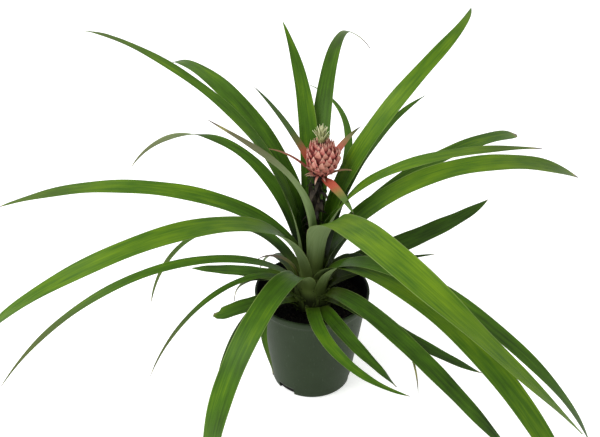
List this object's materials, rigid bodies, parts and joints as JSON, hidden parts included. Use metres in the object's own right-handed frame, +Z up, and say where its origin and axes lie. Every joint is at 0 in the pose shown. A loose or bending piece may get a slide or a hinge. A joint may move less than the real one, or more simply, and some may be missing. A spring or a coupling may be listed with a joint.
{
  "type": "potted pineapple plant",
  "caption": "Young fruiting pineapple plant with long arching strap leaves, in a round tapered plastic nursery pot; free-standing on its flat base.",
  "frame": {"origin": "middle of the pot's flat underside", "axes": "+Z up, -Y towards the front from which the fruit's long bract and the largest leaf are seen, +X to the right"},
  "size_m": [0.7576, 0.7085, 0.4739],
  "materials": {
    "pot": "satin moulded black-green plastic",
    "soil": "damp black potting mix",
    "stem": "pale green clasping leaf bases",
    "stalk": "dull dark brown stalk with withered scales",
    "fruit": "satin salmon-pink eyes with dark red seams",
    "crown": "dull pale yellow-green",
    "leaf": "satin waxy green, paler and greyer beneath",
    "bract": "satin red fading to green"
  },
  "bodies": {
    "root": {"pot": "pot", "soil": "soil", "stem": "stem", "stalk": "stalk", "fruit": "fruit", "crown": "crown", "leaf_inner_pale": "leaf", "leaf_inner_front": "leaf", "leaf_inner_sliver": "leaf", "leaf_back_upright": "leaf", "leaf_back_curled_tip": "leaf", "leaf_left_upper": "leaf", "leaf_back_left_wide": "leaf", "leaf_front_right_large": "leaf", "leaf_right_narrow": "leaf", "leaf_back_right_long": "leaf", "leaf_back_left_long": "leaf", "leaf_back_small": "leaf", "leaf_left_arching": "leaf", "leaf_right_wide": "leaf", "leaf_left_main": "leaf", "leaf_front_right_second": "leaf", "leaf_back_right_dark": "leaf", "leaf_left_dried": "leaf", "leaf_right_torn": "leaf", "leaf_left_narrow": "leaf", "leaf_right_shade": "leaf", "leaf_right_lower": "leaf", "leaf_front_right_far": "leaf", "leaf_front_left_bright": "leaf", "leaf_left_short": "leaf", "leaf_right_shade_low": "leaf", "leaf_left_hanging": "leaf", "leaf_right_tiny": "leaf", "leaf_front_right_low": "leaf", "leaf_back_low": "leaf", "leaf_left_low_narrow": "leaf", "leaf_front_left_dark": "leaf", "leaf_right_under": "leaf", "leaf_back_low_right": "leaf", "leaf_back_low_left": "leaf", "leaf_left_blunt": "leaf", "leaf_left_dark_tip": "leaf", "leaf_right_thin": "leaf", "leaf_over_rim": "leaf", "leaf_over_rim_right": "leaf", "leaf_beside_pot": "leaf", "bract_left_thin": "bract", "bract_left_up": "bract", "bract_right_up": "bract", "bract_right_thin": "bract", "bract_front_long": "bract"}
  },
  "joints": []
}
